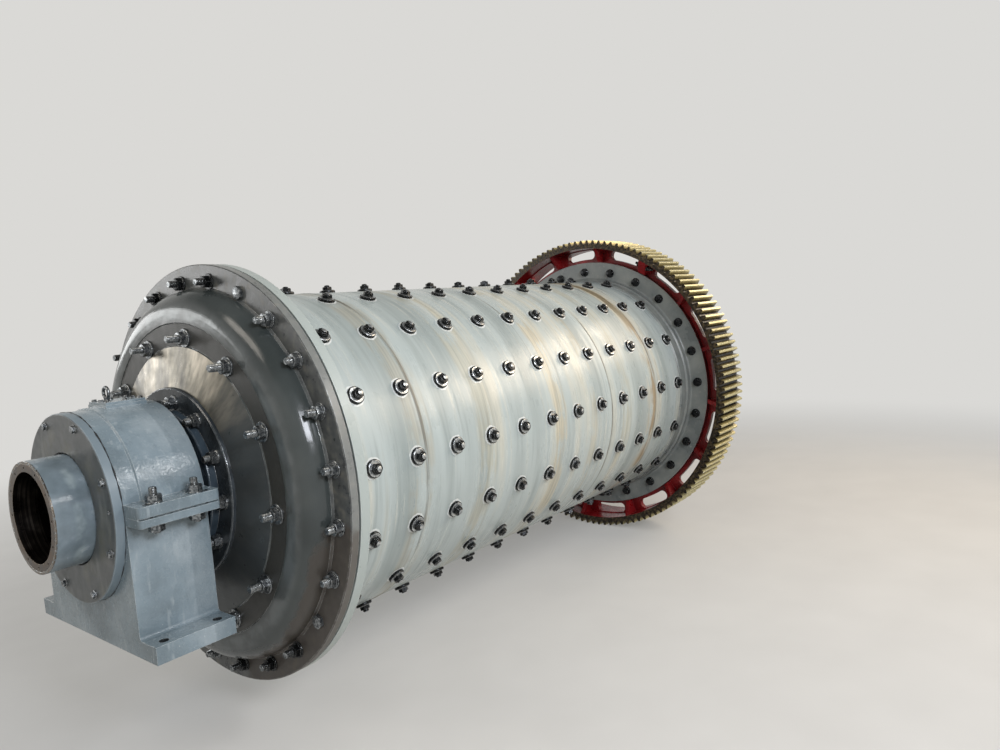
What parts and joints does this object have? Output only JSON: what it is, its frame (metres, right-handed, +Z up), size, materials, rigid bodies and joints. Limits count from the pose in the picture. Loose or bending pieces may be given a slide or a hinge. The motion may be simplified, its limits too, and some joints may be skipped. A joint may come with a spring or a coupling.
{
  "type": "ball mill",
  "caption": "Horizontal grinding drum with domed heads and a girth gear, turning on hollow trunnions in two split bearing housings.",
  "frame": {"origin": "centre of the flat underside of the feed bearing housing, where it is bolted to its pier", "axes": "+X along the mill axis from the feed end to the gear end, +Z up, -Y the side with the free view of the shell"},
  "size_m": [4.742, 2.1436, 2.1436],
  "materials": {
    "bearing_paint": "brushed-on blue-grey gloss paint over rough castings",
    "cover_paint": "thin grey paint on a turned plate",
    "bearing_metal": "turned bearing bronze",
    "seal_steel": "oiled steel",
    "bright_steel": "zinc-plated steel",
    "head_paint": "dark grey semi-gloss paint with machined faces",
    "shell_paint": "pale grey paint with rust runs in bands",
    "flange_paint": "grey paint on a turned flange",
    "wear_steel": "cast manganese steel",
    "bore_steel": "bare turned steel with light rust",
    "gear_steel": "dark red primer on the web, bare greased teeth"
  },
  "bodies": {
    "bearings": {"feed_bearing_base": "bearing_paint", "feed_bearing_cap": "bearing_paint", "feed_end_cover": "cover_paint", "feed_bush": "bearing_metal", "feed_oil_seal": "seal_steel", "feed_lid": "bearing_paint", "feed_lifting_eye": "bright_steel", "discharge_bearing_base": "bearing_paint", "discharge_bearing_cap": "bearing_paint", "discharge_end_cover": "cover_paint", "discharge_bush": "bearing_metal", "discharge_oil_seal": "seal_steel", "discharge_lid": "bearing_paint", "discharge_lifting_eye": "bright_steel"},
    "drum": {"shell": "shell_paint", "feed_shell_flange": "shell_paint", "gear_shell_flange": "flange_paint", "shell_liner": "wear_steel", "feed_head": "head_paint", "feed_head_liner": "wear_steel", "feed_trunnion": "head_paint", "feed_bore_liner": "bore_steel", "discharge_head": "head_paint", "discharge_head_liner": "wear_steel", "discharge_trunnion": "head_paint", "discharge_bore_liner": "bore_steel", "gear_half_a": "gear_steel", "gear_half_b": "gear_steel"}
  },
  "joints": [
    {"name": "drum_spin", "type": "hinge", "parent": "bearings", "child": "drum", "pos_m": [0, 0, 0.515], "axis": [1, 0, 0], "continuous": true}
  ]
}
